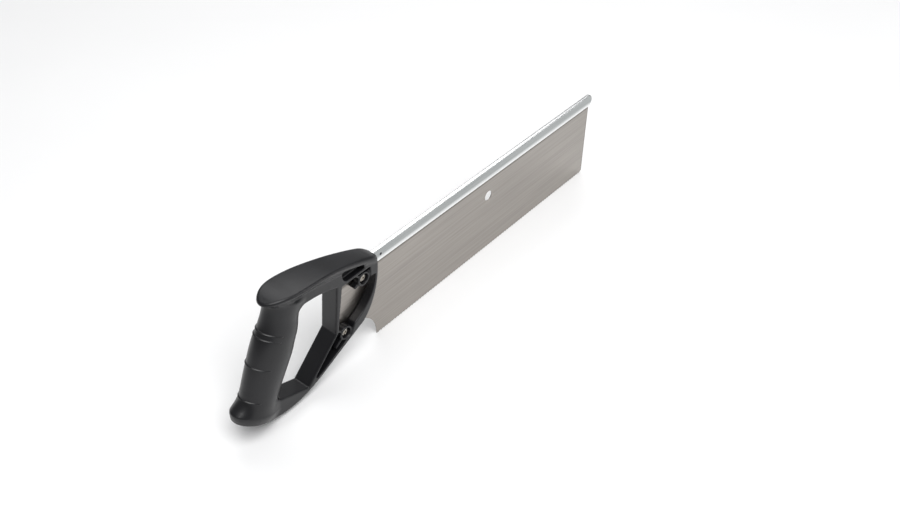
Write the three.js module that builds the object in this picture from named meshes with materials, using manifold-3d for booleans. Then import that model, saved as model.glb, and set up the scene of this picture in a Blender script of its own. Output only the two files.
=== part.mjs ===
// Back saw: a thin toothed steel plate, stiffened along its top by a folded steel back, and held in a
// one-piece moulded handle by two screws with sleeve nuts. Millimetres, +X along the teeth to the toe,
// +Z up, tooth points on z = 0. Shapes are drawn with x = 0 at the heel point of the plate; the finished
// saw is then moved so that its origin lies at the middle of its base.

import * as THREE from 'three';
import Module from 'manifold-3d';
import { mergeVertices } from 'three/addons/utils/BufferGeometryUtils.js';

const wasm = await Module();
wasm.setup();

// ---------------------------------------------------------------- driving dimensions

const GAP = 0.3; // clearance between pieces that rest on each other

const TOOTH_LINE = 355;
const TOOTH_COUNT = 169;
const TOOTH_DEPTH = 1.5;
const PLATE_THICKNESS = 0.9;
const PLATE_TOP = 102.5;
const TANG_TOP = 99; // the plate's height behind the end of its back
const TOE_CORNER = 2.5;
const HANG_HOLE = { x: 173.3, z: 68.7, r: 5.6 };

const BACK_WIDTH = 4.6;
const BACK_TOP = 105.4;
const BACK_DEPTH = 14;
const BACK_SHEET = 1.55;
const BACK_START = -14;
const BACK_END = 357.5;
const BACK_END_RADIUS = 5;
const RIVET = { x: 7.5, z: 97.7, r: 1.6 };

const YOKE_HALF = 9.8; // half the width of the handle's walls
const WEB = 2.5;
const RAIL_CORE = 3.5; // half the thickness left between the rail's two pockets
const EDGE = 2; // rounding of the yoke's outer edges

const UPPER_SCREW = { x: -21.8, z: 90 };
const LOWER_SCREW = { x: -48.3, z: 41.2 };
const BOSS = { r: 7.6, counterbore: 5.4, bore: 3.5, face: 8.4, seat: 4 };
const SCREW = { head: 4.1, headHeight: 2.4, shank: 2, length: 7 };
const DRIVE = { reach: 2.3, width: 1.1, depth: 1.5 }; // the cross recess in a screw's head
const NUT = { head: 5, headHeight: 2.2, barrel: 3.2, reach: 7.2 };

const steel = { metalness: 0.95, roughness: 0.3 };
const materials = {
  plate: new THREE.MeshStandardMaterial({ color: 0xb7b3ae, ...steel }),
  back: new THREE.MeshStandardMaterial({ color: 0xd4d8da, ...steel }),
  rivet: new THREE.MeshStandardMaterial({ color: 0x3c3c40, metalness: 0.8, roughness: 0.5 }),
  fastener: new THREE.MeshStandardMaterial({ color: 0xc4c1b8, metalness: 0.95, roughness: 0.35 }),
  handle: new THREE.MeshStandardMaterial({ color: 0x232326, metalness: 0, roughness: 0.45 }),
};

const saw = new THREE.Group();

// ---------------------------------------------------------------- helpers

// A closed geometry as a solid for joining and cutting.
function solid(geometry) {
  const bare = geometry.clone();
  bare.deleteAttribute('normal');
  bare.deleteAttribute('uv');
  const merged = mergeVertices(bare, 1e-4);
  return new wasm.Manifold(new wasm.Mesh({
    numProp: 3,
    vertProperties: merged.attributes.position.array,
    triVerts: new Uint32Array(merged.index.array),
  }));
}

// Adds one named piece of the saw.
function piece(name, body, material) {
  const { vertProperties, triVerts } = body.getMesh();
  const geometry = new THREE.BufferGeometry();
  geometry.setAttribute('position', new THREE.BufferAttribute(vertProperties, 3));
  geometry.setIndex(new THREE.BufferAttribute(triVerts, 1));
  const mesh = new THREE.Mesh(geometry, material);
  mesh.name = name;
  saw.add(mesh);
}

// A side-view outline (x, z) made solid from yLow to yHigh, with its rims rounded by edge.
function slab(shape, yLow, yHigh, edge = 0, curveSegments = 8) {
  const geometry = new THREE.ExtrudeGeometry(shape, {
    depth: yHigh - yLow - 2 * edge,
    bevelEnabled: edge > 0,
    bevelThickness: edge,
    bevelSize: edge,
    bevelOffset: -edge,
    bevelSegments: 2,
    curveSegments,
  });
  geometry.rotateX(Math.PI / 2);
  geometry.translate(0, yHigh - edge, 0);
  return solid(geometry);
}

function outline(points) {
  return new THREE.Shape(points.map(([x, z]) => new THREE.Vector2(x, z)));
}

// A round bar along y, centred on a side-view point.
function bar({ x, z }, radius, yLow, yHigh, sides = 32) {
  const geometry = new THREE.CylinderGeometry(radius, radius, yHigh - yLow, sides);
  geometry.translate(x, (yLow + yHigh) / 2, z);
  return solid(geometry);
}

// A turned piece with its axis along y, from a (radius, y) profile that starts and ends on the axis.
function turned({ x, z }, profile, sides = 24) {
  const geometry = new THREE.LatheGeometry(profile.map(([r, y]) => new THREE.Vector2(r, y)), sides);
  geometry.translate(x, 0, z);
  return solid(geometry);
}

// A flat rib of the given thickness between two side-view points.
function rib([x1, z1], [x2, z2], thickness, yLow, yHigh) {
  const geometry = new THREE.BoxGeometry(Math.hypot(x2 - x1, z2 - z1), yHigh - yLow, thickness);
  geometry.rotateY(-Math.atan2(z2 - z1, x2 - x1));
  geometry.translate((x1 + x2) / 2, (yLow + yHigh) / 2, (z1 + z2) / 2);
  return solid(geometry);
}

// A closed body through rings that all have the same number of points, capped at both ends.
function loft(rings) {
  const count = rings[0].length;
  const positions = rings.flat().flatMap((p) => [p.x, p.y, p.z]);
  const middle = (ring) => ring.reduce((sum, p) => sum.add(p), new THREE.Vector3()).divideScalar(count);
  const first = rings.length * count;
  positions.push(...middle(rings[0]).toArray(), ...middle(rings.at(-1)).toArray());
  const faces = [];
  for (let i = 0; i < count; i++) {
    const j = (i + 1) % count;
    for (let k = 0; k + 1 < rings.length; k++) {
      const a = k * count;
      const b = a + count;
      faces.push(a + i, a + j, b + j, a + i, b + j, b + i);
    }
    const last = (rings.length - 1) * count;
    faces.push(first, j, i);
    faces.push(first + 1, last + i, last + j);
  }
  const geometry = new THREE.BufferGeometry();
  geometry.setAttribute('position', new THREE.Float32BufferAttribute(positions, 3));
  geometry.setIndex(faces);
  return solid(geometry);
}

// ---------------------------------------------------------------- blade plate

// The part of the plate inside the handle, from the notch round to the top, grown by grow all round.
function tang(grow) {
  return [
    [-26 + grow, 38.5 - grow],
    [-31, 43.5 - grow],
    [-50, 33.8 - grow],
    [-53.5 - grow, 36 - grow],
    [-50.5 - grow, TANG_TOP + grow],
    [BACK_START + 1, TANG_TOP + grow],
  ];
}

function plateOutline() {
  const shape = new THREE.Shape();
  const pitch = TOOTH_LINE / TOOTH_COUNT;
  shape.moveTo(0, 0);
  for (let i = 0; i < TOOTH_COUNT; i++) {
    shape.lineTo((i + 0.5) * pitch, TOOTH_DEPTH);
    shape.lineTo((i + 1) * pitch, 0);
  }
  shape.lineTo(TOOTH_LINE + 0.01, TOE_CORNER);
  shape.lineTo(TOOTH_LINE + 0.01, PLATE_TOP);
  shape.lineTo(BACK_START + 1, PLATE_TOP);
  for (const [x, z] of tang(0).reverse()) shape.lineTo(x, z);
  shape.bezierCurveTo(-13, 30, -0.3, 25, 0, 0);
  return shape;
}

const halfPlate = PLATE_THICKNESS / 2;
const plate = slab(plateOutline(), -halfPlate, halfPlate, 0, 10)
  .subtract(bar(HANG_HOLE, HANG_HOLE.r, -2, 2, 40))
  .subtract(bar(RIVET, RIVET.r + GAP, -2, 2, 16))
  .subtract(bar(UPPER_SCREW, BOSS.bore, -2, 2, 24))
  .subtract(bar(LOWER_SCREW, BOSS.bore, -2, 2, 24));
piece('blade_plate', plate, materials.plate);

// ---------------------------------------------------------------- folded back and its rivet

// Section (y, z) of the strip folded over the plate, with a rounded crown.
function backSection() {
  const half = BACK_WIDTH / 2;
  const inner = half - BACK_SHEET;
  const low = BACK_TOP - BACK_DEPTH;
  const section = new THREE.Shape();
  section.moveTo(-half, low);
  section.lineTo(-inner, low);
  section.lineTo(-inner, PLATE_TOP + GAP);
  section.lineTo(inner, PLATE_TOP + GAP);
  section.lineTo(inner, low);
  section.lineTo(half, low);
  section.lineTo(half, BACK_TOP - 1.4);
  section.quadraticCurveTo(half, BACK_TOP, 0, BACK_TOP);
  section.quadraticCurveTo(-half, BACK_TOP, -half, BACK_TOP - 1.4);
  return section;
}

function backSideShape() {
  const low = BACK_TOP - BACK_DEPTH - 1;
  const r = BACK_END_RADIUS;
  const shape = new THREE.Shape();
  shape.moveTo(BACK_START, low);
  shape.lineTo(BACK_END - r - 1, low);
  shape.quadraticCurveTo(BACK_END, low + 1, BACK_END, low + r + 3);
  shape.quadraticCurveTo(BACK_END, BACK_TOP + 0.01, BACK_END - r, BACK_TOP + 0.01);
  shape.lineTo(BACK_START, BACK_TOP + 0.01);
  return shape;
}

const strip = new THREE.ExtrudeGeometry(backSection(), {
  depth: BACK_END - BACK_START,
  bevelEnabled: false,
  curveSegments: 4,
});
strip.rotateX(Math.PI / 2);
strip.rotateZ(Math.PI / 2);
strip.translate(BACK_START, 0, 0);
const back = solid(strip)
  .intersect(slab(backSideShape(), -BACK_WIDTH, BACK_WIDTH, 0, 6))
  .subtract(bar(RIVET, RIVET.r + GAP, -BACK_WIDTH, BACK_WIDTH, 16));
piece('blade_back', back, materials.back);

// The rivet's ends lie just below the back's two sides.
const RIVET_SINK = 0.15;
const rivetHalf = BACK_WIDTH / 2 - RIVET_SINK;
piece('back_rivet', turned(RIVET, [
  [0, -rivetHalf],
  [RIVET.r * 0.7, -rivetHalf + 0.1],
  [RIVET.r, -rivetHalf + 0.4],
  [RIVET.r, rivetHalf - 0.4],
  [RIVET.r * 0.7, rivetHalf - 0.1],
  [0, rivetHalf],
], 16), materials.rivet);

// ---------------------------------------------------------------- handle

// Side-view corners of the hand hole's front wall.
const HOLE = {
  top: [-57.5, 104],
  knee: [-62.3, 50.4],
  toe: [-101, 12],
  heel: [-143, 27],
};

// The grip's rings: middle (x, z), half depth and half width, from the pad down to the butt.
const GRIP = [
  { x: -111, z: 126, depth: 20, width: 14 },
  { x: -114.5, z: 117, depth: 18.5, width: 14 },
  { x: -116.8, z: 110, depth: 18.8, width: 14 },
  { x: -120.2, z: 100, depth: 20, width: 15 },
  { x: -126.2, z: 89, depth: 21.5, width: 15.5 },
  { x: -131.3, z: 78, depth: 22, width: 15.8 },
  { x: -135.8, z: 69, depth: 21.5, width: 15.6 },
  { x: -140.3, z: 60, depth: 21, width: 15.3 },
  { x: -144.2, z: 52, depth: 20.4, width: 15 },
  { x: -148, z: 44, depth: 19.8, width: 14.8 },
  { x: -151, z: 37, depth: 20, width: 14.8 },
  { x: -152.8, z: 33.4, depth: 21.5, width: 15 },
  { x: -155.3, z: 30.1, depth: 24.8, width: 15.6 },
  { x: -157, z: 27.1, depth: 26.4, width: 16 },
  { x: -158.4, z: 23.4, depth: 25.6, width: 15.6 },
  { x: -160.2, z: 18.2, depth: 21, width: 12.6 },
];
const GRIP_LEAN = THREE.MathUtils.degToRad(26);

function gripRing({ x, z, depth, width }, sides = 28) {
  const forward = new THREE.Vector3(Math.cos(GRIP_LEAN), 0, -Math.sin(GRIP_LEAN));
  return Array.from({ length: sides }, (_, i) => {
    const angle = (i / sides) * 2 * Math.PI;
    return new THREE.Vector3(x, width * Math.sin(angle), z)
      .addScaledVector(forward, depth * Math.cos(angle));
  });
}

// The palm pad: stations (x, top z, half width, depth), from its rounded rear end to the nose.
const PAD = [
  [-136, 136, 3.5, 3.5],
  [-134, 137, 6.6, 5],
  [-130.5, 137.9, 9.8, 6.3],
  [-125, 138, 12.7, 7.3],
  [-116, 137.6, 15.6, 8],
  [-106, 136.8, 16.6, 8],
  [-94, 135.4, 16.3, 8],
  [-82, 133.4, 15.3, 8],
  [-68, 130.4, 14, 7.5],
  [-55.5, 127, 13, 7],
  [-43, 122.9, 12.4, 6.5],
  [-29, 117.8, 11.3, 6.5],
  [-18, 113.2, 10.6, 6.5],
  [-9.5, 109.3, 9.2, 6.5],
  [-5, 107, 7.7, 6.5],
  [-2, 105, 5.8, 5],
  [-0.5, 103.5, 3.6, 3.5],
];

const PAD_TUCK = 3; // how far the pad's sides turn in below their middle

function padRing([x, top, half, deep]) {
  const e = Math.min(1.8, half / 3);
  const tuck = Math.min(PAD_TUCK, half / 2);
  const low = top - deep;
  return [
    [-half, top - deep / 2], [-half + tuck, low], [half - tuck, low], [half, top - deep / 2],
    [half, top - e], [half - e * 0.3, top - e * 0.3], [half - e, top],
    [-half + e, top], [-half + e * 0.3, top - e * 0.3], [-half, top - e],
  ].map(([y, z]) => new THREE.Vector3(x, y, z));
}

function yokeOutline() {
  const shape = new THREE.Shape();
  shape.moveTo(-16, 109);
  shape.quadraticCurveTo(-4, 106, -3.6, 97);
  shape.bezierCurveTo(-3.6, 80, -8.2, 57.5, -23.5, 42.5);
  shape.quadraticCurveTo(-25, 41, -27.5, 39.8);
  shape.lineTo(-50, 29.4);
  shape.lineTo(-84, 13);
  shape.quadraticCurveTo(-97, 6.8, -112, 4.4);
  shape.quadraticCurveTo(-131, 1.6, -150, 8);
  shape.lineTo(-155, 30);
  shape.lineTo(-125, 108);
  shape.lineTo(-122, 130);
  shape.lineTo(-82, 128);
  shape.lineTo(-55, 122);
  shape.lineTo(-29, 114);
  return shape;
}

function holeOutline() {
  const shape = new THREE.Shape();
  shape.moveTo(...HOLE.top);
  shape.lineTo(...HOLE.knee);
  shape.lineTo(...HOLE.toe);
  shape.lineTo(...HOLE.heel);
  shape.lineTo(-142, 40);
  shape.lineTo(-113, 108);
  shape.quadraticCurveTo(-112, 112.5, -104, 112.5);
  shape.quadraticCurveTo(-78, 112.5, ...HOLE.top);
  return shape;
}

// The pocket on either side of the yoke, inside its walls, which lays the plate bare.
function pocketOutline() {
  const shape = new THREE.Shape();
  shape.moveTo(-51.2, 101);
  shape.lineTo(-54.6, 80);
  shape.lineTo(-59.3, 50.8);
  shape.lineTo(-90.5, 19);
  shape.quadraticCurveTo(-92.3, 16.2, -87.5, 15.4);
  shape.quadraticCurveTo(-84.5, 15.4, -81, 17.2);
  shape.lineTo(-43, 36.8);
  shape.lineTo(-38, 47.5);
  shape.lineTo(-31, 51.5);
  shape.bezierCurveTo(-15, 61, -8, 77, -8, 88.5);
  shape.lineTo(-14.5, 89.5);
  shape.lineTo(-14.5, 101);
  return shape;
}

// The shallow pocket on either side of the rail under the palm pad.
function railPocketOutline() {
  const shape = new THREE.Shape();
  shape.moveTo(-22, 103.8);
  shape.lineTo(-44, 103.8);
  shape.quadraticCurveTo(-52, 106.5, -50, 119.5);
  shape.lineTo(-43, 117.5);
  shape.lineTo(-22, 110);
  return shape;
}

function boss(screw, side) {
  const low = side < 0 ? -BOSS.face : halfPlate + GAP;
  const high = side < 0 ? -halfPlate - GAP : BOSS.face;
  const seat = side < 0 ? [-BOSS.face - 1, -BOSS.seat] : [BOSS.seat, BOSS.face + 1];
  return {
    body: bar(screw, BOSS.r, low, high),
    counterbore: bar(screw, BOSS.counterbore, ...seat),
  };
}

// Ribs that tie the bosses to the walls: from a screw's middle to a point on a wall.
const RIBS = [
  [UPPER_SCREW, [-35, 102.5]],
  [UPPER_SCREW, [-12, 97]],
  [UPPER_SCREW, [-33.5, 85]],
  [LOWER_SCREW, [-60.5, 52]],
  [LOWER_SCREW, [-62, 30.5]],
  [LOWER_SCREW, [-35, 38.5]],
];
const RIB_THICKNESS = 2.2;
const RIB_FACE = 7.6; // how far the ribs stand out from the plate's middle

function handle() {
  let body = slab(yokeOutline(), -YOKE_HALF, YOKE_HALF, EDGE, 10)
    .subtract(slab(holeOutline(), -YOKE_HALF - 1, YOKE_HALF + 1, 0, 10))
    .subtract(slab(pocketOutline(), -YOKE_HALF - 1, halfPlate + GAP, 0, 8))
    .subtract(slab(pocketOutline(), halfPlate + GAP + WEB, YOKE_HALF + 1, 0, 8))
    .subtract(slab(railPocketOutline(), -YOKE_HALF - 1, -RAIL_CORE, 0, 8))
    .subtract(slab(railPocketOutline(), RAIL_CORE, YOKE_HALF + 1, 0, 8));
  for (const side of [-1, 1]) {
    for (const [screw, end] of RIBS) {
      const [low, high] = side < 0 ? [-RIB_FACE, -halfPlate - GAP] : [halfPlate + GAP, RIB_FACE];
      body = body.add(rib([screw.x, screw.z], end, RIB_THICKNESS, low, high));
    }
    for (const screw of [UPPER_SCREW, LOWER_SCREW]) {
      body = body.add(boss(screw, side).body);
    }
  }
  body = body.add(loft(PAD.map(padRing))).add(loft(GRIP.map((ring) => gripRing(ring)).reverse()));
  for (const screw of [UPPER_SCREW, LOWER_SCREW]) {
    body = body
      .subtract(boss(screw, -1).counterbore)
      .subtract(boss(screw, 1).counterbore)
      .subtract(bar(screw, BOSS.bore, -BOSS.face, BOSS.face, 24));
  }
  const slot = halfPlate + GAP;
  const front = 20; // clear of the handle's front end
  const tangCut = [...tang(GAP), [front, TANG_TOP + GAP], [front, 10], [0, 10]];
  const backCut = [
    [BACK_START - GAP, BACK_TOP - BACK_DEPTH - GAP],
    [front, BACK_TOP - BACK_DEPTH - GAP],
    [front, BACK_TOP + GAP],
    [BACK_START - GAP, BACK_TOP + GAP],
  ];
  return body
    .subtract(slab(outline(tangCut), -slot, slot))
    .subtract(slab(outline(backCut), -BACK_WIDTH / 2 - GAP, BACK_WIDTH / 2 + GAP));
}
piece('handle', handle(), materials.handle);

// ---------------------------------------------------------------- screws and sleeve nuts

function screwBody(place) {
  const seat = -BOSS.seat - GAP;
  const top = seat - SCREW.headHeight;
  let body = turned(place, [
    [0, top],
    [SCREW.head * 0.6, top + 0.25],
    [SCREW.head * 0.9, top + 0.9],
    [SCREW.head, seat - 0.5],
    [SCREW.head, seat],
    [SCREW.shank, seat],
    [SCREW.shank, seat + SCREW.length],
    [0, seat + SCREW.length + 0.6],
  ]);
  for (const [dx, dz] of [[DRIVE.reach, 0], [0, DRIVE.reach]]) {
    const ends = [[place.x - dx, place.z - dz], [place.x + dx, place.z + dz]];
    body = body.subtract(rib(...ends, DRIVE.width, top - 1, top + DRIVE.depth));
  }
  return body;
}

function nutBody(place) {
  const seat = BOSS.seat + GAP;
  const bore = SCREW.shank + GAP;
  return turned(place, [
    [0, seat - 0.2],
    [bore, seat - 0.2],
    [bore, seat - NUT.reach],
    [NUT.barrel, seat - NUT.reach],
    [NUT.barrel, seat],
    [NUT.head, seat],
    [NUT.head, seat + NUT.headHeight - 0.9],
    [NUT.head * 0.75, seat + NUT.headHeight - 0.2],
    [0, seat + NUT.headHeight],
  ]);
}

piece('upper_screw', screwBody(UPPER_SCREW), materials.fastener);
piece('upper_nut', nutBody(UPPER_SCREW), materials.fastener);
piece('lower_screw', screwBody(LOWER_SCREW), materials.fastener);
piece('lower_nut', nutBody(LOWER_SCREW), materials.fastener);

// The origin lies under the middle of the saw's box, level with its lowest point.
const box = new THREE.Box3().setFromObject(saw);
saw.position.set(-(box.min.x + box.max.x) / 2, 0, -box.min.z);

export default saw;
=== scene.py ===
import math

import bmesh
import bpy
import numpy as np
import openvdb
from mathutils import Matrix, Vector


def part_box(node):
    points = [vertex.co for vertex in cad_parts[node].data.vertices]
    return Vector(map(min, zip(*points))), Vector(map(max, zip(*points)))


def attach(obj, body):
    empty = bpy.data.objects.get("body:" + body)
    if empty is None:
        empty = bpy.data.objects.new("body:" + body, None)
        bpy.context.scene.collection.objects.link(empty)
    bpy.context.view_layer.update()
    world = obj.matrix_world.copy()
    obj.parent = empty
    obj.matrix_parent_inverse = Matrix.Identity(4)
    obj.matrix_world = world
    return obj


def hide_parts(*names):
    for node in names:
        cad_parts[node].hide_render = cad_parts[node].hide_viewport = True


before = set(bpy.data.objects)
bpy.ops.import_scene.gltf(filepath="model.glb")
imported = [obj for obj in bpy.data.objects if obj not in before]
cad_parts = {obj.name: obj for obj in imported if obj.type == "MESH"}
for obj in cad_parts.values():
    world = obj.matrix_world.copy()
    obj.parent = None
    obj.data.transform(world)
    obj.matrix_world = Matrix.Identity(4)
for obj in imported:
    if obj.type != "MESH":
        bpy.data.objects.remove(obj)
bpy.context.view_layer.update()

# ---------------------------------------------------------------- sizes, in millimetres

# Shapes are drawn as in the CAD source: x = 0 at the heel point of the teeth, +X towards the toe, z = 0 at
# the tooth points. HEEL, in metres, moves them into the frame.
MM = 0.001
TOOTH_LINE = 355
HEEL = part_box("blade_plate")[1].x - TOOTH_LINE * MM

GAP = 0.3
TOOTH_COUNT = 169
TOOTH_DEPTH = 1.5
PLATE_HALF = 0.45  # a HALF is half a thickness: a piece reaches that far to each side of y = 0
PLATE_TOP = 102.5
TANG_TOP = 99
TOE_CORNER = 2.5
HANG_HOLE = (173.3, 68.7)
HANG_HOLE_R = 5.6

BACK_TOP = 105.4
BACK_LOW = 91.4
BACK_HALF = 2.3
BACK_SLOT = 0.75
BACK_START = -14
BACK_END = 357.5
RIVET = (7.5, 97.7)
RIVET_R = 1.6

YOKE_HALF = 9.8
WEB = 2.5
RAIL_CORE = 3.5
UPPER_SCREW = (-21.8, 90)
LOWER_SCREW = (-48.3, 41.2)
BOSS_R = 7.6
BOSS_FACE = 8.4
COUNTERBORE_R = 5.4
BORE_R = 3.5
SEAT = 4

# ---------------------------------------------------------------- camera


def make_camera(place, heading, pitch, roll, lens):
    """A camera at place, looking heading degrees left of +X and pitch degrees down."""
    h, p, r = map(math.radians, (heading, pitch, roll))
    ahead = Vector((math.cos(h) * math.cos(p), math.sin(h) * math.cos(p), -math.sin(p)))
    level = Vector((math.sin(h), -math.cos(h), 0))
    lift = level.cross(ahead)
    right = level * math.cos(r) + lift * math.sin(r)
    up = lift * math.cos(r) - level * math.sin(r)
    turn = Matrix((right, up, -ahead)).transposed().to_4x4()
    data = bpy.data.cameras.new("camera")
    data.lens = lens
    data.sensor_width = 36
    data.clip_start = 0.01
    camera = bpy.data.objects.new("camera", data)
    camera.matrix_world = Matrix.Translation(Vector(place) * MM + Vector((HEEL, 0, 0))) @ turn
    bpy.context.collection.objects.link(camera)
    bpy.context.scene.camera = camera


make_camera((-530.1, -512.8, 726.5), heading=38.6, pitch=40.28, roll=1.23, lens=42.1)

# ---------------------------------------------------------------- outlines, curves and distance fields


def path(start, *steps, pieces=12):
    """A closed outline. A step is a point, or a tuple of points: a curve's controls and its end."""
    points = [Vector(start)]
    for step in steps:
        if isinstance(step[0], (int, float)):
            points.append(Vector(step))
            continue
        controls = [points[-1], *map(Vector, step)]
        for i in range(1, pieces + 1):
            level = controls
            while len(level) > 1:
                level = [a.lerp(b, i / pieces) for a, b in zip(level, level[1:])]
            points.append(level[0])
    return points


def through(points, x):
    """The height at x of a smooth curve through (x, y) points, held level past its ends."""
    xs, ys = np.array(points, float).T
    slopes = np.gradient(ys, xs)
    x = np.clip(x, xs[0], xs[-1])
    i = np.clip(np.searchsorted(xs, x) - 1, 0, len(xs) - 2)
    width = xs[i + 1] - xs[i]
    t = (x - xs[i]) / width
    rise = (ys[i + 1] - ys[i]) * (3 - 2 * t) * t * t
    return ys[i] + rise + width * t * (1 - t) * ((1 - t) * slopes[i] - t * slopes[i + 1])


def outline_distance(points, u, v):
    """Distance from (u, v) to a closed outline, negative inside it."""
    nearest = np.full(np.broadcast(u, v).shape, np.inf)
    inside = np.zeros(nearest.shape, bool)
    for (u1, v1), (u2, v2) in zip(points, points[1:] + points[:1]):
        du, dv = u2 - u1, v2 - v1
        t = np.clip(((u - u1) * du + (v - v1) * dv) / max(du * du + dv * dv, 1e-9), 0, 1)
        nearest = np.minimum(nearest, (u - u1 - t * du) ** 2 + (v - v1 - t * dv) ** 2)
        if dv:
            inside ^= ((v1 > v) != (v2 > v)) & (u < u1 + (v - v1) * du / dv)
    return np.where(inside, -1, 1) * np.sqrt(nearest)


def between(value, low, high):
    """The field of the slab from low to high."""
    return np.maximum(low - value, value - high)


def common(a, b, r):
    """The field of what two bodies share, with the new edge rounded to radius r."""
    corner = np.hypot(np.maximum(a + r, 0), np.maximum(b + r, 0))
    return np.minimum(np.maximum(a, b), -r) + corner


def joined(a, b, r):
    """The field of two bodies made one, with a fillet of radius r between them."""
    corner = np.hypot(np.maximum(r - a, 0), np.maximum(r - b, 0))
    return np.maximum(np.minimum(a, b), r) - corner


def cut(a, b, r):
    """The field of body a less body b, with the new edge rounded to radius r."""
    return common(a, -b, r)


def link(name, mesh):
    """A piece in the scene from a mesh."""
    piece = bpy.data.objects.new(name, mesh)
    bpy.context.collection.objects.link(piece)
    return piece


def mesh_of_field(name, field, low, high, step):
    """A piece whose surface is where field(x, y, z) is zero, found on a grid of cubes step wide."""
    axes = [np.arange(a, b + step, step) for a, b in zip(low, high)]
    values = np.broadcast_to(field(*np.meshgrid(*axes, indexing="ij", sparse=True)), [len(a) for a in axes])
    grid = openvdb.FloatGrid(3 * step)
    grid.copyFromArray(np.ascontiguousarray(values, np.float32))
    grid.transform = openvdb.createLinearTransform(step)
    points, quads = grid.convertToQuads(0.0)
    points = (points + np.array(low)) * MM + np.array([HEEL, 0, 0])
    mesh = bpy.data.meshes.new(name)
    mesh.vertices.add(len(points))
    mesh.vertices.foreach_set("co", points.astype(np.float32).ravel())
    mesh.loops.add(quads.size)
    mesh.loops.foreach_set("vertex_index", quads.astype(np.int32).ravel())
    mesh.polygons.add(len(quads))
    mesh.polygons.foreach_set("loop_start", np.arange(0, quads.size, 4, dtype=np.int32))
    mesh.update(calc_edges=True)
    mesh.shade_smooth()
    return link(name, mesh)


# ---------------------------------------------------------------- handle

YOKE = path(
    (-16, 109),
    ((-4, 106), (-3.6, 97)),
    ((-3.6, 80), (-8.2, 57.5), (-23.5, 42.5)),
    ((-25, 41), (-27.5, 39.8)),
    (-50, 29.4), (-84, 13),
    ((-97, 6.8), (-112, 4.4)),
    ((-131, 1.6), (-150, 8)),
    (-157.5, 14), (-155, 30), (-125, 108), (-122, 130), (-82, 128), (-55, 122), (-29, 114),
)
HAND_HOLE = path(
    (-57.5, 104),
    (-62.3, 50.4), (-101, 12), (-143, 27), (-142, 40), (-113, 108),
    ((-112, 112.5), (-104, 112.5)),
    ((-78, 112.5), (-57.5, 104)),
)
POCKET = path(
    (-51.2, 101),
    (-54.6, 80), (-59.3, 50.8), (-90.5, 19),
    ((-92.3, 16.2), (-87.5, 15.4)),
    ((-84.5, 15.4), (-81, 17.2)),
    (-43, 36.8), (-38, 47.5), (-31, 51.5),
    ((-15, 61), (-8, 77), (-8, 88.5)),
    (-14.5, 89.5), (-14.5, 101),
)
RAIL_POCKET = path(
    (-22, 103.8),
    (-44, 103.8),
    ((-52, 106.5), (-50, 119.5)),
    (-43, 117.5), (-22, 110),
)
TANG_SLOT = path(
    (-25.7, 38.2), (-31, 43.2), (-50, 33.5), (-53.8, 35.7), (-50.8, TANG_TOP + GAP),
    (20, TANG_TOP + GAP), (20, 10), (0, 10),
)
BACK_SLOT_OUTLINE = path(
    (BACK_START - GAP, BACK_LOW - GAP), (20, BACK_LOW - GAP),
    (20, BACK_TOP + GAP), (BACK_START - GAP, BACK_TOP + GAP),
)

# Upright ribs on the web, each from a screw's middle to a point on a wall.
RIBS = (
    (UPPER_SCREW, (-35, 102.5)), (UPPER_SCREW, (-12, 97)), (UPPER_SCREW, (-33.5, 85)),
    (LOWER_SCREW, (-60.5, 52)), (LOWER_SCREW, (-62, 30.5)), (LOWER_SCREW, (-35, 38.5)),
)
RIB_HALF = 1.1
RIB_FACE = 7.6

# The palm pad: one side of its plan, and the heights of its top and underside along x.
PAD_SIDE = path(
    (-136.4, 0),
    ((-136.4, 9.5), (-122, 16.6), (-106, 16.6)),
    ((-88, 16.6), (-75, 14.3), (-55.5, 13)),
    ((-40, 12), (-24, 11.2), (-14, 10.2)),
    ((-5, 9.2), (-0.2, 5), (-0.2, 0)),
)
PAD_PLAN = PAD_SIDE + [Vector((x, -y)) for x, y in PAD_SIDE[-2:0:-1]]
PAD_TOP = (
    (-137, 135.6), (-125, 138), (-106, 136.9), (-82, 133.4),
    (-55.5, 127), (-29, 117.8), (-9.5, 109.3), (0, 103.6),
)
PAD_UNDER = (
    (-137, 132.6), (-125, 130.7), (-106, 128.8), (-82, 125.4),
    (-55.5, 120), (-29, 111.3), (-9.5, 102.8), (0, 99),
)
PAD_HALF = 16
PAD_CROWN = 0.6  # how much lower the pad's top is at its sides than along its middle
PAD_TUCK = 0.55  # how steeply the pad's sides turn in below their upper edge
PAD_TUCK_START = 3  # how far below the top the tuck starts
PAD_TUCK_REACH = 6  # and how much deeper it goes on
PAD_TOP_ROUND = 2
PAD_UNDER_ROUND = 1.2

# The grip's rings, square to an axis that leans back: middle (x, z), half depth and half width.
GRIP_LEAN = math.radians(26)
GRIP_RINGS = (
    (-160.7, 17.2, 22.4, 14), (-158.3, 23.7, 25.1, 15.7), (-157.7, 25.2, 25.4, 15.8),
    (-157.1, 26.6, 24.5, 15.5), (-154.8, 30.6, 22, 15), (-151.5, 36, 20.1, 14.8),
    (-148, 44, 19.8, 14.8), (-144.2, 52, 20.4, 15), (-140.3, 60, 21, 15.3),
    (-135.8, 69, 21.5, 15.6), (-131.3, 78, 22, 15.8), (-126.2, 89, 21.5, 15.5),
    (-120.2, 100, 20, 15), (-116.8, 110, 18.8, 14), (-114.5, 117, 18.5, 14), (-111, 126, 20, 14),
)
GRIP_END_ROUND = 1.4

# The grip's ridges: height of each on the grip's axis, and how far round it reaches from the rear, in
# degrees. Their section is drawn (outwards, up along the grip).
RIDGES = ((37.5, 62), (67.3, 66), (92.2, 72), (96.8, 72))
RIDGE_SECTION = (
    (-0.7, 1.5), (0.1, 0.9), (0.75, 0.25), (0.85, 0), (0.7, -0.25), (0.1, -0.35), (-0.7, -0.45),
)
RIDGE_STEPS = 24

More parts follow.
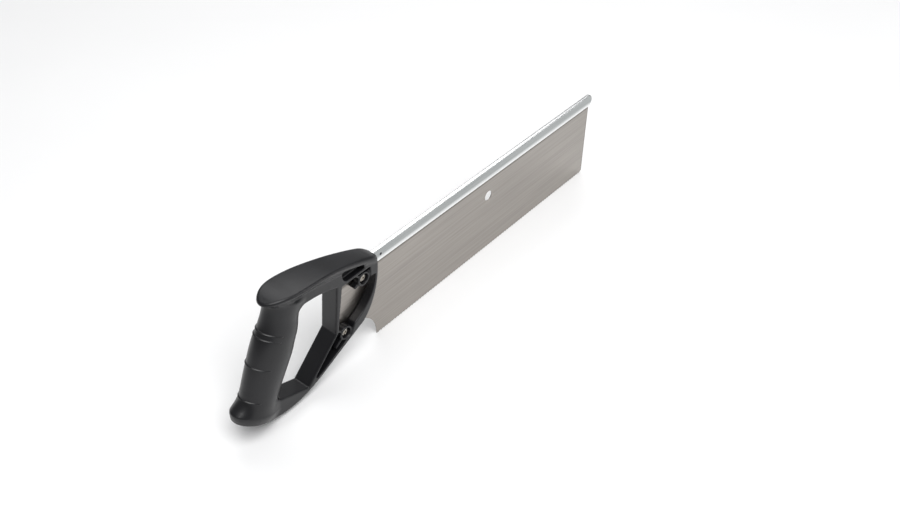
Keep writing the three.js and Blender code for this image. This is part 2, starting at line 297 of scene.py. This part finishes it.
# Radii of the handle's rounded rims and of the fillets where its parts meet.
YOKE_ROUND = 2.2
HOLE_ROUND = 1.3
POCKET_ROUND = 0.7
RAIL_ROUND = 0.9
BOSS_ROUND = 0.9
RIB_ROUND = 0.5
BOSS_FILLET = 0.8
PAD_FILLET = 5
GRIP_FILLET = 4


def pad_field(x, y, z):
    """The palm pad: its plan between a crowned top and an underside, narrower below its upper edge."""
    drop = np.clip(through(PAD_TOP, x) - PAD_TUCK_START - z, 0, PAD_TUCK_REACH)
    plan = outline_distance(PAD_PLAN, x, y) + PAD_TUCK * drop
    # a height above a sloping surface, times the cosine of its slope, is the distance from it
    rise = np.gradient(through(PAD_TOP, x[:, 0, 0]), x[:, 0, 0])
    cosine = np.cos(np.arctan(rise))[:, None, None]
    top = (z - through(PAD_TOP, x) + PAD_CROWN * (y / PAD_HALF) ** 2) * cosine
    under = (through(PAD_UNDER, x) - z) * cosine
    return common(common(plan, top, PAD_TOP_ROUND), under, PAD_UNDER_ROUND)


def along_grip(x, z):
    """How far up the grip's axis a side-view point lies, and how far ahead of it."""
    lean, rise = math.sin(GRIP_LEAN), math.cos(GRIP_LEAN)
    return lean * x + rise * z, rise * x - lean * z


def grip_field(x, y, z):
    """The grip: ellipses that change smoothly from ring to ring, square to its leaning axis."""
    up, ahead = along_grip(x, z)
    places = [along_grip(ring[0], ring[1]) for ring in GRIP_RINGS]
    heights = [place[0] for place in places]
    depth = through([(h, ring[2]) for h, ring in zip(heights, GRIP_RINGS)], up)
    width = through([(h, ring[3]) for h, ring in zip(heights, GRIP_RINGS)], up)
    ahead = ahead - through(places, up)
    reach = np.hypot(ahead / depth, y / width)
    sides = reach * (reach - 1) / np.maximum(np.hypot(ahead / depth**2, y / width**2), 1e-6)
    return common(sides, between(up, heights[0], heights[-1]), GRIP_END_ROUND)


def rib_field(start, end, x, y, z):
    """An upright rib on both faces of the web, from a screw's middle to a point on a wall."""
    a, b = Vector(start), Vector(end)
    way = (b - a).normalized()
    along = (x - a.x) * way.x + (z - a.y) * way.y
    across = (z - a.y) * way.x - (x - a.x) * way.y
    side = np.maximum(np.abs(across) - RIB_HALF, between(along, 0, (b - a).length))
    return common(side, np.abs(y) - RIB_FACE, RIB_ROUND)


def handle_field(x, y, z):
    """The whole moulding but its ridges: open to the plate on the near side, with a web on the far side."""
    web_near = PLATE_HALF + GAP
    body = common(outline_distance(YOKE, x, z), np.abs(y) - YOKE_HALF, YOKE_ROUND)
    body = cut(body, outline_distance(HAND_HOLE, x, z), HOLE_ROUND)
    pocket = outline_distance(POCKET, x, z)
    body = cut(body, np.maximum(pocket, y - web_near), POCKET_ROUND)
    body = cut(body, np.maximum(pocket, web_near + WEB - y), POCKET_ROUND)
    rail_pocket = outline_distance(RAIL_POCKET, x, z)
    body = cut(body, np.maximum(rail_pocket, RAIL_CORE - np.abs(y)), RAIL_ROUND)
    for screw in (UPPER_SCREW, LOWER_SCREW):
        ribs = [rib_field(start, end, x, y, z) for start, end in RIBS if start == screw]
        for rib in ribs:
            body = joined(body, rib, BOSS_FILLET)
        radius = np.hypot(x - screw[0], z - screw[1])
        boss = common(radius - BOSS_R, np.abs(y) - BOSS_FACE, BOSS_ROUND)
        body = joined(body, boss, BOSS_FILLET)
        body = cut(body, np.maximum(radius - COUNTERBORE_R, SEAT - np.abs(y)), 0.5)
        body = cut(body, radius - BORE_R, 0.2)
    body = joined(body, pad_field(x, y, z), PAD_FILLET)
    body = joined(body, grip_field(x, y, z), GRIP_FILLET)
    slot = np.maximum(outline_distance(TANG_SLOT, x, z), np.abs(y) - web_near)
    body = cut(body, slot, 0.1)
    back_slot = np.maximum(outline_distance(BACK_SLOT_OUTLINE, x, z), np.abs(y) - BACK_HALF - GAP)
    return cut(body, back_slot, 0.3)


def skin(bm, rings):
    """A closed skin over a row of rings of vertices."""
    for a, b in zip(rings, rings[1:]):
        for i in range(len(a)):
            j = (i + 1) % len(a)
            bm.faces.new((a[i], a[j], b[j], b[i]))
    bm.faces.new(reversed(rings[0]))
    bm.faces.new(rings[-1])


def grip_at(height):
    """The grip's middle x, half depth and half width where its axis is at a height."""
    columns = [[(ring[1], ring[i]) for ring in GRIP_RINGS] for i in (0, 2, 3)]
    return [float(through(column, np.array(float(height)))) for column in columns]


def add_ridges(piece):
    """Thin moulded lips round the rear of the grip, sharp underneath and fading at both ends."""
    lean = Vector((math.sin(GRIP_LEAN), 0, math.cos(GRIP_LEAN)))
    ahead = Vector((math.cos(GRIP_LEAN), 0, -math.sin(GRIP_LEAN)))
    bm = bmesh.new()
    bm.from_mesh(piece.data)
    for height, reach in RIDGES:
        x, depth, width = grip_at(height)
        rings = []
        for step in range(-RIDGE_STEPS, RIDGE_STEPS + 1):
            share = step / RIDGE_STEPS
            angle = math.radians(reach) * share
            fade = math.cos(math.pi / 2 * share) ** 0.5 if abs(share) < 1 else 0
            spot = Vector((x, 0, height)) - ahead * depth * math.cos(angle)
            spot.y = width * math.sin(angle)
            out = -ahead * (math.cos(angle) / depth) + Vector((0, math.sin(angle) / width, 0))
            out.normalize()
            ring = [
                spot + out * (away * fade if away > 0 else away) + lean * up for away, up in RIDGE_SECTION
            ]
            rings.append([bm.verts.new(point * MM + Vector((HEEL, 0, 0))) for point in ring])
        skin(bm, rings)
    bm.to_mesh(piece.data)
    bm.free()
    piece.data.shade_smooth()
    return piece


HANDLE_GRID = 0.8
GRID_MARGIN = 3  # empty grid cubes past the handle's box on every side


def make_handle():
    """The moulded handle, on a grid set round its CAD box."""
    low, high = (Vector(corner) / MM - Vector((HEEL / MM, 0, 0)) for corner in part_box("handle"))
    margin = GRID_MARGIN * HANDLE_GRID
    # the grid is even about y = 0, so that both sides of the handle come out alike
    y_reach = HANDLE_GRID * math.ceil(high.y / HANDLE_GRID + GRID_MARGIN)
    start = (low.x - margin, -y_reach, low.z - margin)
    end = (high.x + margin, y_reach, high.z + margin)
    return add_ridges(mesh_of_field("handle_moulding", handle_field, start, end, HANDLE_GRID))


# ---------------------------------------------------------------- blade plate

TOOTH_SET = 0.18  # how far a tooth's point leans out of the plate
TOOTH_FLEAM = 0.3  # how much higher the point's inner corner is than its outer one
HEEL_LIFT = 0.02  # the heel's corner stays just clear of the floor


def ring_points(middle, r, count):
    """Points round a circle in side view."""
    angles = [2 * math.pi * i / count for i in range(count)]
    return [(middle[0] + r * math.cos(a), middle[1] + r * math.sin(a)) for a in angles]


def plate_border():
    """The plate's outline from toe to heel over the top: everything but the teeth."""
    top_back = BACK_START + 1
    return path(
        (TOOTH_LINE, TOE_CORNER),
        (TOOTH_LINE, PLATE_TOP), (top_back, PLATE_TOP), (top_back, TANG_TOP),
        (-50.5, TANG_TOP), (-53.5, 36), (-50, 33.8), (-31, 43.5), (-26, 38.5),
        ((-13, 30), (-0.3, 25), (0, 0)),
        pieces=20,
    )


def make_plate():
    """The toothed plate: two sheets with the same outline and holes, and the walls and teeth between."""
    pitch = TOOTH_LINE / TOOTH_COUNT
    roots = [(i * pitch + pitch / 2, TOOTH_DEPTH) for i in range(TOOTH_COUNT)]
    border = plate_border()
    loops = [
        [*border[:-1], (0, HEEL_LIFT), *roots],
        ring_points(HANG_HOLE, HANG_HOLE_R, 64),
        ring_points(UPPER_SCREW, BORE_R, 40),
        ring_points(LOWER_SCREW, BORE_R, 40),
    ]
    bm = bmesh.new()
    sheets = []
    for y in (-PLATE_HALF, PLATE_HALF):
        rings = [[bm.verts.new((px, y, pz)) for px, pz in loop] for loop in loops]
        edges = [bm.edges.new((a, b)) for ring in rings for a, b in zip(ring, ring[1:] + ring[:1])]
        bmesh.ops.triangle_fill(bm, edges=edges, use_beauty=True)
        sheets.append(rings)
    near, far = sheets
    near_roots, far_roots = near[0][-TOOTH_COUNT:], far[0][-TOOTH_COUNT:]
    for near_ring, far_ring in zip(near[1:], far[1:]):
        wall(bm, near_ring, far_ring, closed=True)
    body = len(near[0]) - TOOTH_COUNT
    wall(bm, near[0][:body], far[0][:body], closed=False)
    teeth(bm, near_roots, far_roots, pitch)
    # the heel's half tooth
    wall(bm, near[0][body - 1:body + 1], far[0][body - 1:body + 1], closed=False)
    # the toe's half tooth
    wall(bm, [near_roots[-1], near[0][0]], [far_roots[-1], far[0][0]], closed=False)
    plate = finish_mesh("saw_plate", bm, smooth_angle=20)
    # the two broad sheets are truly flat, so the set teeth don't shade them
    for face in plate.data.polygons:
        face.use_smooth = abs(face.normal.y) < 0.9
    return plate


def wall(bm, near, far, closed):
    """Faces across the plate's thickness along matching edges of its two sheets."""
    pairs = list(zip(near, far))
    following = pairs[1:] + pairs[:1] if closed else pairs[1:]
    for (a, b), (c, d) in zip(pairs, following):
        bm.faces.new((a, c, d, b))


def teeth(bm, near_roots, far_roots, pitch):
    """Crosscut teeth between the roots, filed to points that lean left and right by turns."""
    for i in range(TOOTH_COUNT - 1):
        a, b = near_roots[i], near_roots[i + 1]
        c, d = far_roots[i], far_roots[i + 1]
        side = 1 if i % 2 else -1
        x = (i + 1) * pitch
        tips = []
        for y, sheet in ((-PLATE_HALF, -1), (PLATE_HALF, 1)):
            height = 0 if sheet == side else TOOTH_FLEAM
            tips.append(bm.verts.new((x, y + side * TOOTH_SET, height)))
        bm.faces.new((a, b, tips[0]))
        bm.faces.new((c, tips[1], d))
        bm.faces.new((a, tips[0], tips[1], c))
        bm.faces.new((b, d, tips[1], tips[0]))


def finish_mesh(name, bm, smooth_angle):
    """A piece from a bmesh drawn in millimetres, smooth where faces meet within smooth_angle degrees."""
    for vert in bm.verts:
        vert.co = vert.co * MM + Vector((HEEL, 0, 0))
    bmesh.ops.recalc_face_normals(bm, faces=bm.faces)
    mesh = bpy.data.meshes.new(name)
    bm.to_mesh(mesh)
    bm.free()
    mesh.shade_smooth()
    mesh.set_sharp_from_angle(angle=math.radians(smooth_angle))
    return link(name, mesh)


# ---------------------------------------------------------------- folded back and rivet

CROWN_FLAT = 1.25  # half width of the flat along the back's top, before its corners begin
CROWN_CORNER = 0.85
CROWN_STEPS = 6
BACK_WAIST = 2.0  # half width halfway down, between the crown and the flared lip
TOE_ROUND = 5  # radius of the back's upper corner at the toe
TOE_SWEEP = (6, 8)  # length and height of the curve that takes off its lower corner
TOE_STEPS = 14


def back_section():
    """Half the folded strip's section (y, z), from the middle of its crown round the lip to the fold."""
    points = [(0, BACK_TOP), (CROWN_FLAT * 0.6, BACK_TOP - 0.01)]
    for i in range(CROWN_STEPS + 1):
        angle = math.pi / 2 * i / CROWN_STEPS
        fall = CROWN_CORNER * (1 - math.cos(angle))
        points.append((CROWN_FLAT + CROWN_CORNER * math.sin(angle), BACK_TOP - 0.05 - fall))
    side = [
        (BACK_WAIST + 0.04, BACK_TOP - 5), (BACK_WAIST, BACK_LOW + 5), (BACK_WAIST + 0.08, BACK_LOW + 3),
    ]
    lip = [
        (BACK_HALF - 0.03, BACK_LOW + 1.5), (BACK_HALF, BACK_LOW + 0.9), (BACK_HALF - 0.08, BACK_LOW + 0.35),
        (BACK_HALF - 0.4, BACK_LOW), (1.1, BACK_LOW),
    ]
    slot = [
        (BACK_SLOT, BACK_LOW + 0.4), (BACK_SLOT, PLATE_TOP),
        (BACK_SLOT * 0.6, PLATE_TOP + GAP), (0, PLATE_TOP + GAP),
    ]
    return points + side + lip + slot


def make_back():
    """The folded back: its section carried from the handle to the toe, where it shrinks to round corners."""
    half = back_section()
    section = half + [(-y, z) for y, z in half[-2:0:-1]]
    sweep_long, sweep_high = TOE_SWEEP
    steps = [math.pi / 2 * i / TOE_STEPS for i in range(TOE_STEPS + 1)]
    places = [BACK_START, 0, 60, 120, 180, 240, 300, 340]
    places += [BACK_END - sweep_long * math.cos(angle) for angle in steps]
    bm = bmesh.new()
    rings = []
    for x in places:
        past_top = min(max(x - BACK_END + TOE_ROUND, 0), TOE_ROUND)
        past_low = min(max(x - BACK_END + sweep_long, 0), sweep_long) / sweep_long
        top = BACK_TOP - TOE_ROUND + math.sqrt(TOE_ROUND**2 - past_top**2)
        low = BACK_LOW + sweep_high * (1 - math.sqrt(1 - past_low**2))
        scale = (top - low) / (BACK_TOP - BACK_LOW)
        rings.append([bm.verts.new((x, y, low + (z - BACK_LOW) * scale)) for y, z in section])
    skin(bm, rings)
    return finish_mesh("folded_back", bm, smooth_angle=40)


RIVET_PROUD = 0.05
RIVET_DOME = 0.35  # how much lower the rivet's domed ends are at the rim than in the middle
RIVET_SPREAD = 0.25  # how much wider than its shank the rivet is once it is driven
RIVET_GRID = 0.12


def make_rivet():
    """A pin with low domed ends."""
    def field(x, y, z):
        radius = np.hypot(x - RIVET[0], z - RIVET[1])
        dome = np.abs(y) - BACK_HALF - RIVET_PROUD + (radius / RIVET_R) ** 2 * RIVET_DOME
        return common(radius - RIVET_R - RIVET_SPREAD, dome, 0.25)

    reach = RIVET_R + 1
    low = (RIVET[0] - reach, -BACK_HALF - 1, RIVET[1] - reach)
    high = (RIVET[0] + reach, BACK_HALF + 1, RIVET[1] + reach)
    return mesh_of_field("back_rivet_pin", field, low, high, RIVET_GRID)


# ---------------------------------------------------------------- screws and nuts

SCREW_HEAD_R = 4.1
SCREW_HEAD = 2.4
SCREW_DOME = 0.9  # how much lower a head's rim is than its middle
SHANK_R = 2
SHANK = 7
RECESS_DEPTH = 1.5
RECESS_REACH = 2.3
RECESS_HALF = 0.62
RECESS_TAPER = (0.5, 0.15)  # how fast the recess's ends and sides close in with depth
NUT_HEAD_R = 5
NUT_HEAD = 2.2
NUT_DOME = 0.5
BARREL_R = 3.2
NUT_REACH = 7.2
NUT_SLOT_HALF = 0.6
NUT_SLOT_DEPTH = 1.1
NUT_SLOT_ACROSS = (0.8, 0.6)  # the direction square to the slot, in side view
HEAD_ROUND = 0.5
RECESS_ROUND = 0.12
FASTENER_GRID = 0.16


def make_screw(name, place):
    """A pan head with a cross recess, facing -Y, and its plain shank."""
    def field(x, y, z):
        dx, dz = x - place[0], z - place[1]
        radius = np.hypot(dx, dz)
        out = -y - SEAT - GAP
        dome = out - SCREW_HEAD + SCREW_DOME * (radius / SCREW_HEAD_R) ** 2
        head = common(common(radius - SCREW_HEAD_R, dome, HEAD_ROUND), -out, 0.1)
        body = joined(head, common(radius - SHANK_R, between(out, -SHANK, 0.5), 0.4), 0.1)
        depth = np.clip(SCREW_HEAD - out, 0, RECESS_DEPTH + 0.1)
        floor = SCREW_HEAD - RECESS_DEPTH - out
        for along, across in ((dx, dz), (dz, dx)):
            ends = np.abs(along) - RECESS_REACH + RECESS_TAPER[0] * depth
            sides = np.abs(across) - RECESS_HALF + RECESS_TAPER[1] * depth
            body = cut(body, np.maximum(np.maximum(ends, sides), floor), RECESS_ROUND)
        return body

    return small_turned(name, place, field, -SEAT - GAP - SCREW_HEAD, -SEAT - GAP + SHANK)


def make_nut(name, place):
    """A sleeve nut with a slotted flat head, facing +Y."""
    def field(x, y, z):
        dx, dz = x - place[0], z - place[1]
        radius = np.hypot(dx, dz)
        out = y - SEAT - GAP
        dome = out - NUT_HEAD + NUT_DOME * (radius / NUT_HEAD_R) ** 2
        head = common(common(radius - NUT_HEAD_R, dome, HEAD_ROUND), -out, 0.1)
        body = joined(head, common(radius - BARREL_R, between(out, -NUT_REACH, 0.5), 0.2), 0.1)
        body = cut(body, np.maximum(radius - SHANK_R - GAP, out + 0.2), 0.2)
        off_slot = np.abs(dx * NUT_SLOT_ACROSS[0] + dz * NUT_SLOT_ACROSS[1])
        slot = np.maximum(off_slot - NUT_SLOT_HALF, NUT_HEAD - NUT_SLOT_DEPTH - out)
        return cut(body, slot, RECESS_ROUND)

    return small_turned(name, place, field, SEAT + GAP - NUT_REACH, SEAT + GAP + NUT_HEAD)


def small_turned(name, place, field, y_low, y_high):
    """The piece of a screw's or nut's field, on a grid that just holds it."""
    margin = 0.6
    reach = NUT_HEAD_R + margin
    low = (place[0] - reach, y_low - margin, place[1] - reach)
    high = (place[0] + reach, y_high + margin, place[1] + reach)
    return mesh_of_field(name, field, low, high, FASTENER_GRID)


# ---------------------------------------------------------------- materials


class Nodes:
    """A material's node tree, with the joints written as short calls."""

    def __init__(self, name):
        self.material = bpy.data.materials.new(name)
        self.material.use_nodes = True
        self.tree = self.material.node_tree
        self.shader = self.tree.nodes["Principled BSDF"]
        self.place = self.add("ShaderNodeTexCoord").outputs["Object"]

    def add(self, kind, inputs=(), **settings):
        node = self.tree.nodes.new(kind)
        for key, value in settings.items():
            setattr(node, key, value)
        for key, value in dict(inputs).items():
            self.put(node.inputs[key], value)
        return node

    def put(self, socket, value):
        if isinstance(value, bpy.types.NodeSocket):
            self.tree.links.new(value, socket)
        else:
            socket.default_value = value

    def set(self, **values):
        for key, value in values.items():
            self.put(self.shader.inputs[key.replace("_", " ")], value)

    def noise(self, scale, stretch=(1, 1, 1), detail=3.0, roughness=0.5):
        """Noise with scale waves a metre, squeezed along the axes by stretch."""
        where = self.add("ShaderNodeMapping", {"Vector": self.place, "Scale": stretch}).outputs[0]
        inputs = {"Vector": where, "Scale": scale, "Detail": detail, "Roughness": roughness}
        return self.add("ShaderNodeTexNoise", inputs).outputs["Fac"]

    def spread(self, value, low, high, start=0.3, end=0.7):
        """value from start to end turned into low to high."""
        inputs = {"Value": value, "From Min": start, "From Max": end, "To Min": low, "To Max": high}
        return self.add("ShaderNodeMapRange", inputs).outputs["Result"]

    def blend(self, share, a, b):
        """Colour a at share 0 and b at share 1."""
        node = self.add("ShaderNodeMix", data_type="RGBA")
        self.put(node.inputs["Factor"], share)
        self.put(node.inputs["A"], (*a, 1) if isinstance(a, tuple) else a)
        self.put(node.inputs["B"], (*b, 1) if isinstance(b, tuple) else b)
        return node.outputs["Result"]

    def either(self, a, b):
        """The larger of two values."""
        return self.add("ShaderNodeMath", {0: a, 1: b}, operation="MAXIMUM").outputs[0]

    def bump(self, height, distance, strength=1.0, under=None):
        inputs = {"Height": height, "Distance": distance, "Strength": strength}
        if under is not None:
            inputs["Normal"] = under
        return self.add("ShaderNodeBump", inputs).outputs["Normal"]


def handle_plastic():
    """Charcoal moulded plastic: a fine satin texture, slightly uneven gloss."""
    n = Nodes("handle_plastic")
    cloud = n.noise(45, detail=4)
    grain = n.noise(2600, detail=2)
    n.set(
        Base_Color=n.blend(n.spread(cloud, 0, 1), (0.0055, 0.0055, 0.0065), (0.008, 0.008, 0.0095)),
        Roughness=n.spread(cloud, 0.31, 0.39),
        Specular_IOR_Level=0.42,
        Normal=n.bump(grain, 0.00004, 0.5, n.bump(n.noise(160), 0.0001, 0.35)),
    )
    return n.material


# mask and masked carry painted light: painted shade on the plate, painted highlights on the back
def steel(name, dark, light, rough, streak, relief=0.15, along=True, mask=None, masked=None):
    """Ground steel: its colour runs from dark to light in fine streaks, and its roughness over rough.

    streak is the streaks' number to a metre and relief their strength; along draws them out along the
    blade. Where mask(nodes) is 1, the colour is masked.
    """
    n = Nodes(name)
    stretch = (0.02, 1, 1) if along else (1, 1, 1)
    streaks = n.noise(streak, stretch, detail=2, roughness=0.5)
    cloud = n.noise(9, (1, 1, 1.6), detail=4)
    colour = n.blend(n.spread(streaks, 0, 1), dark, light)
    if mask:
        colour = n.blend(mask(n), colour, masked)
    n.set(
        Base_Color=colour,
        Metallic=1.0,
        Roughness=n.spread(cloud, rough[0], rough[1], 0.1, 0.9),
        Normal=n.bump(streaks, 0.00001, relief),
    )
    return n.material


def plate_painted_shade(n):
    """Painted shade: a dark line on the plate just under the folded back's lip, and another along the toe's
    edge.
    """
    x, _, z = n.add("ShaderNodeSeparateXYZ", {"Vector": n.place}).outputs
    under_back = n.spread(z, 0, 0.7, (BACK_LOW - 4.8) * MM, (BACK_LOW - 2.8) * MM)
    at_toe = n.spread(x, 0, 0.8, HEEL + (TOOTH_LINE - 1.3) * MM, HEEL + (TOOTH_LINE - 0.5) * MM)
    return n.either(under_back, at_toe)


def back_painted_highlight(n):
    """Painted highlights: the back's colour made near white along its crown and its lower lip."""
    z = n.add("ShaderNodeSeparateXYZ", {"Vector": n.place}).outputs["Z"]
    crown = n.spread(z, 0, 1, (BACK_TOP - 0.8) * MM, (BACK_TOP - 0.3) * MM)
    lip = n.spread(z, 1, 0, (BACK_LOW + 1.4) * MM, (BACK_LOW + 5.5) * MM)
    return n.either(crown, lip)


def floor_paint():
    """Matt off-white, very slightly clouded."""
    n = Nodes("floor_paint")
    cloud = n.noise(3)
    n.set(
        Base_Color=n.blend(n.spread(cloud, 0, 1), (0.86, 0.86, 0.86), (0.88, 0.88, 0.88)),
        Roughness=0.6,
        Specular_IOR_Level=0.2,
    )
    return n.material


# ---------------------------------------------------------------- pieces


def stand_in(piece, node, material):
    """piece is shown in place of a CAD node."""
    piece.data.materials.append(material)
    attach(piece, "root")
    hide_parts(node)


# the plate's mask paints shade on it: a dark line under the back's lip and along the toe's edge
plate_steel = steel(
    "plate_steel", (0.30, 0.28, 0.26), (0.36, 0.335, 0.31), (0.26, 0.34), 550,
    mask=plate_painted_shade, masked=(0.1, 0.09, 0.08),
)
# the back's mask paints highlights on it: near-white colour along its crown and its lower lip
back_steel = steel(
    "back_steel", (0.31, 0.325, 0.325), (0.39, 0.405, 0.405), (0.2, 0.28), 500,
    relief=0.05, mask=back_painted_highlight, masked=(0.86, 0.87, 0.87),
)
rivet_steel = steel(
    "rivet_steel", (0.035, 0.036, 0.042), (0.06, 0.06, 0.07), (0.35, 0.5), 900, along=False,
)
fastener_steel = steel(
    "fastener_steel", (0.34, 0.32, 0.29), (0.46, 0.43, 0.38), (0.22, 0.34), 1200, along=False,
)

stand_in(make_handle(), "handle", handle_plastic())
stand_in(make_plate(), "blade_plate", plate_steel)
stand_in(make_back(), "blade_back", back_steel)
stand_in(make_rivet(), "back_rivet", rivet_steel)
for level, place in (("upper", UPPER_SCREW), ("lower", LOWER_SCREW)):
    stand_in(make_screw(f"{level}_screw_head", place), f"{level}_screw", fastener_steel)
    stand_in(make_nut(f"{level}_sleeve_nut", place), f"{level}_nut", fastener_steel)

# ---------------------------------------------------------------- floor and light


def make_floor(half_width):
    """A level floor, half_width metres from its middle to each edge."""
    bm = bmesh.new()
    bmesh.ops.create_grid(bm, x_segments=8, y_segments=8, size=half_width)
    mesh = bpy.data.meshes.new("floor")
    bm.to_mesh(mesh)
    bm.free()
    mesh.materials.append(floor_paint())
    link("floor", mesh)


def softbox(name, place, aim, size, watts):
    """A white rectangular light at place, turned towards aim; places and sizes are in metres."""
    data = bpy.data.lights.new(name, "AREA")
    data.shape = "RECTANGLE"
    data.size, data.size_y = size
    data.energy = watts
    lamp = bpy.data.objects.new(name, data)
    lamp.location = place
    lamp.rotation_mode = "QUATERNION"
    lamp.rotation_quaternion = (Vector(aim) - Vector(place)).to_track_quat("-Z", "Y")
    bpy.context.collection.objects.link(lamp)


make_floor(3)
world = bpy.data.worlds.new("studio")
world.use_nodes = True
background = world.node_tree.nodes["Background"]
background.inputs["Color"].default_value = (0.97, 0.98, 1, 1)
background.inputs["Strength"].default_value = 0.27
bpy.context.scene.world = world
softbox("back_softbox", (0.8, 0.9, 1.6), (0, 0, 0.05), (1.6, 1.2), 13)
softbox("right_softbox", (1.3, -1.5, 1.0), (0, 0, 0.05), (1.0, 0.8), 9)
softbox("front_softbox", (-0.5, -0.7, 1.9), (0, 0, 0), (1.6, 1.6), 42)

bpy.context.scene.view_settings.view_transform = "Standard"
